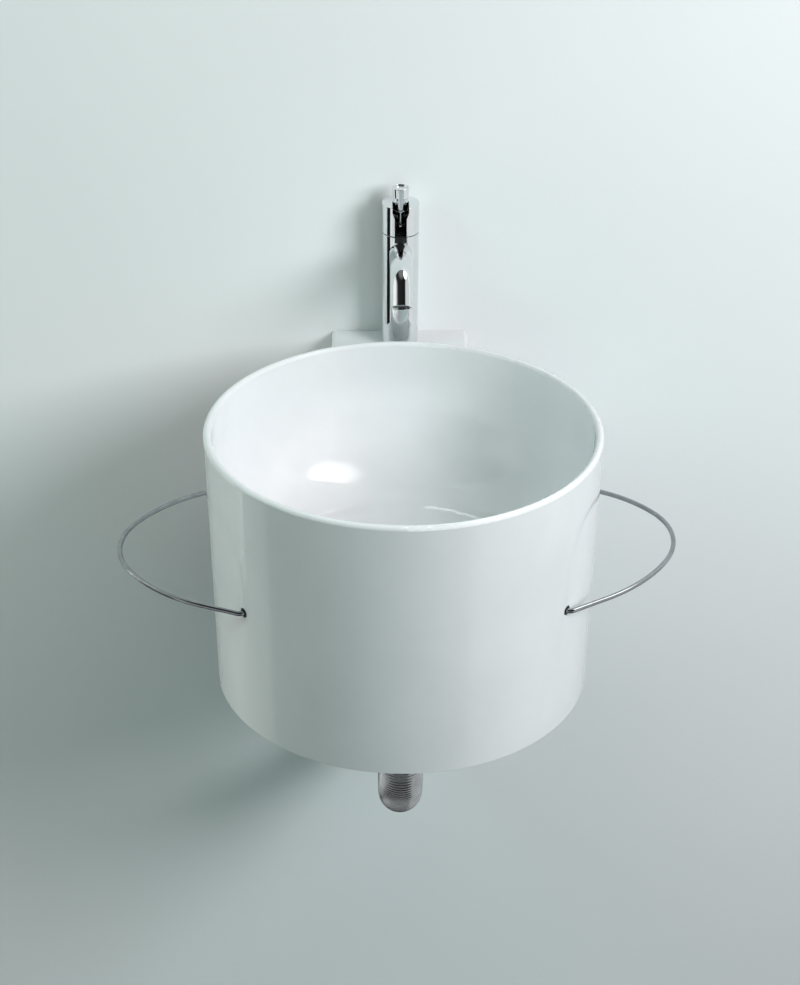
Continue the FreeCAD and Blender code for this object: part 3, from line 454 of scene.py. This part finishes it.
sky = {
    "seen": (0.80, 0.83, 0.84),
    "tint": (0.97, 1.0, 1.0),
    # painted reflections that the metal and glaze mirror in place of the studio, as (place on the ramp,
    # brightness):
    # the first two go round from the wall over the left, the front and the right,
    # and the third goes from left to right
    "aroundLow": ((0.230, 0.60), (0.238, 0.01), (0.312, 0.01), (0.320, 0.90),
                  (0.42, 0.50), (0.58, 0.40), (0.60, 0.80)),
    "underneath": ((0.250, 0.40), (0.265, 0.03), (0.60, 0.04), (0.62, 0.45)),
    "acrossHigh": ((0.325, 0.02), (0.75, 0.01), (0.79, 0.06), (0.83, 0.68), (1.0, 0.75)),
    "overhead": 0.20,
    # heights of the view where one of them goes over into the next
    "underEdge": (-0.53, -0.48),
    "highEdge": (0.02, 0.25),
    "overheadEdge": (0.85, 0.97),
    # a painted reflection of a pale strip at the left, close to the wall, seen only by mirrored rays
    "paintedStreak": {"x": (-0.30, -0.55), "y": (-0.60, -0.20), "low": (0.05, 0.25), "high": (0.72, 0.50)},
    # a painted highlight that the bowl mirrors as a bright window, with a soft edge between two cosines;
    # it lights nothing
    "paintedHighlight": {"way": (0.54, -0.06, 0.84), "edge": (0.957, 0.995), "level": 5.0},
}


def makeSky(s):
    world = bpy.data.worlds.new("studio")
    scene.world = world
    world.use_nodes = True
    tree = world.node_tree
    link = tree.links.new

    def tinted(grey):
        return (*(grey * c for c in s["tint"]), 1)

    def maths(operation, *values):
        node = tree.nodes.new("ShaderNodeMath")
        node.operation = operation
        for socket, value in zip(node.inputs, values):
            if isinstance(value, (int, float)):
                socket.default_value = value
            else:
                link(value, socket)
        return node.outputs[0]

    def ramp(source, stops):
        node = tree.nodes.new("ShaderNodeValToRGB")
        elements = node.color_ramp.elements
        while len(elements) < len(stops):
            elements.new(0.5)
        # all places first, since a stop that moves past another one changes their order
        for element, (place, grey) in zip(elements, stops):
            element.position = place
        for element, (place, grey) in zip(elements, stops):
            element.color = tinted(grey)
        link(source, node.inputs["Fac"])
        return node.outputs["Color"]

    def between(source, edge):
        node = tree.nodes.new("ShaderNodeMapRange")
        node.interpolation_type = "SMOOTHSTEP"
        node.inputs["From Min"].default_value, node.inputs["From Max"].default_value = edge
        link(source, node.inputs["Value"])
        return node.outputs[0]

    def blended(height, edge, below, above):
        node = tree.nodes.new("ShaderNodeMix")
        node.data_type = "RGBA"
        share, first, second = node.inputs[0], node.inputs[6], node.inputs[7]
        link(between(height, edge), share)
        link(below, first)
        if isinstance(above, float):
            second.default_value = tinted(above)
        else:
            link(above, second)
        return node.outputs[2]

    generated = tree.nodes.new("ShaderNodeTexCoord").outputs["Generated"]
    way = tree.nodes.new("ShaderNodeSeparateXYZ")
    link(generated, way.inputs[0])
    x, y, z = way.outputs
    turn = maths("ARCTAN2", x, maths("MULTIPLY", y, -1))
    turn = maths("MULTIPLY_ADD", turn, 0.5 / math.pi, 0.5)
    across = maths("MULTIPLY_ADD", x, 0.5, 0.5)
    # painted reflections: bands of brightness by direction that only mirrored rays see
    paintedReflection = blended(z, s["underEdge"], ramp(turn, s["underneath"]), ramp(turn, s["aroundLow"]))
    paintedReflection = blended(z, s["highEdge"], paintedReflection, ramp(across, s["acrossHigh"]))
    paintedReflection = blended(z, s["overheadEdge"], paintedReflection, s["overhead"])

    paintedStreak, paintedHighlight = s["paintedStreak"], s["paintedHighlight"]
    # the painted reflection of the pale strip, added to what the metal mirrors
    sides = maths("MULTIPLY", between(x, paintedStreak["x"]), between(y, paintedStreak["y"]))
    heights = maths("MULTIPLY", between(z, paintedStreak["low"]), between(z, paintedStreak["high"]))
    # the painted highlight: a bright spot in one direction that only mirrored rays see
    toHighlight = tree.nodes.new("ShaderNodeVectorMath")
    toHighlight.operation = "DOT_PRODUCT"
    link(generated, toHighlight.inputs[0])
    toHighlight.inputs[1].default_value = Vector(paintedHighlight["way"]).normalized()
    highlightGlow = maths("MULTIPLY", between(toHighlight.outputs["Value"], paintedHighlight["edge"]), paintedHighlight["level"])
    added = tree.nodes.new("ShaderNodeVectorMath")
    added.operation = "ADD"
    link(paintedReflection, added.inputs[0])
    link(maths("ADD", maths("MULTIPLY", sides, heights), highlightGlow), added.inputs[1])

    # the camera sees a plain grey, mirrored rays see the painted reflections of a studio, and all other
    # rays see nothing
    seen = tree.nodes["Background"]
    seen.inputs["Color"].default_value = (*s["seen"], 1)
    mirrored = tree.nodes.new("ShaderNodeBackground")
    link(added.outputs[0], mirrored.inputs["Color"])
    none = tree.nodes.new("ShaderNodeBackground")
    none.inputs["Strength"].default_value = 0
    path = tree.nodes.new("ShaderNodeLightPath")

    def chosen(isRay, otherwise, whenSo):
        node = tree.nodes.new("ShaderNodeMixShader")
        link(path.outputs[isRay], node.inputs[0])
        link(otherwise.outputs[0], node.inputs[1])
        link(whenSo.outputs[0], node.inputs[2])
        return node

    light = chosen("Is Camera Ray", chosen("Is Glossy Ray", none, mirrored), seen)
    link(light.outputs[0], tree.nodes["World Output"].inputs["Surface"])


makeLamps(lamps)
makeSky(sky)
scene.view_settings.view_transform = "Standard"
print("lamps lit")
